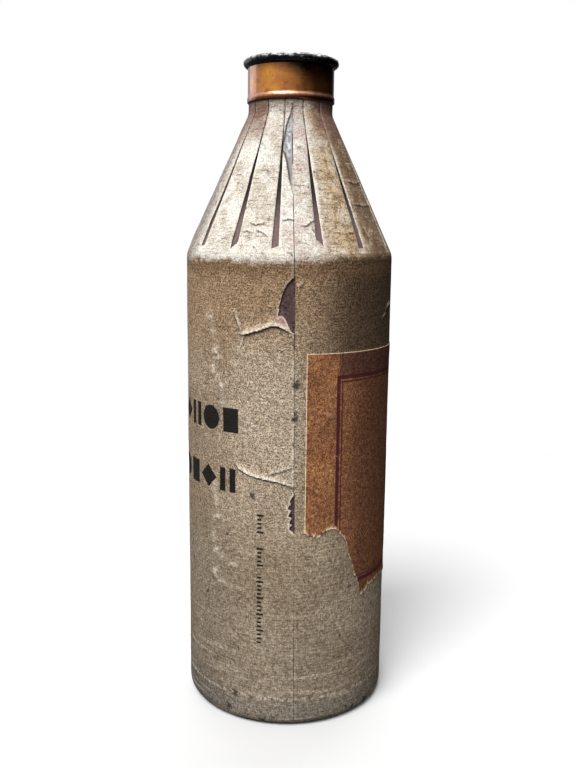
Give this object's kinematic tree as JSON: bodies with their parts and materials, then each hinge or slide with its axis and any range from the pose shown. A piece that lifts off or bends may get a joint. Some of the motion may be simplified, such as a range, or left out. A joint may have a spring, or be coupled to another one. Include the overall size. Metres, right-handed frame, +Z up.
{
  "type": "oil bottle",
  "caption": "Round-shouldered motor-oil bottle of wound board and printed paper, with slit petals on the cone, a lacquered sheet-metal neck collar, a rolled lip and a press-in lid.",
  "frame": {"origin": "centre of the base, on the surface the bottle stands on", "axes": "+Z runs up the bottle through the neck; -Y is the front, with the wrap's seam; +X is the side that the label is centred near"},
  "size_m": [0.0842, 0.084, 0.264],
  "materials": {
    "wound_board": "matt wound board with speckled fibres",
    "greaseproof_paper": "waxed greaseproof paper",
    "wrap_paper": "aged, mottled printed paper",
    "label_paper": "stained orange-brown label paper with a dark red border",
    "black_tin": "glossy black lacquer",
    "gold_lacquer": "glossy gold lacquer on tinplate",
    "bright_tin": "dull tinplate",
    "cork": "pressed cork"
  },
  "bodies": {
    "bottle": {"board_tube": "wound_board", "shoulder_cone": "wound_board", "base_pan": "wound_board", "base_liner": "greaseproof_paper", "oilproof_liner": "greaseproof_paper", "outer_wrap": "wrap_paper", "paper_label": "label_paper", "neck_ferrule": "black_tin", "neck_collar": "gold_lacquer"},
    "closure": {"closure_lid": "bright_tin", "closure_seal": "cork"}
  },
  "joints": [
    {"name": "closure_lift", "type": "slide", "parent": "bottle", "child": "closure", "axis": [0, 0, 1], "range_m": [0, 0.03]}
  ]
}
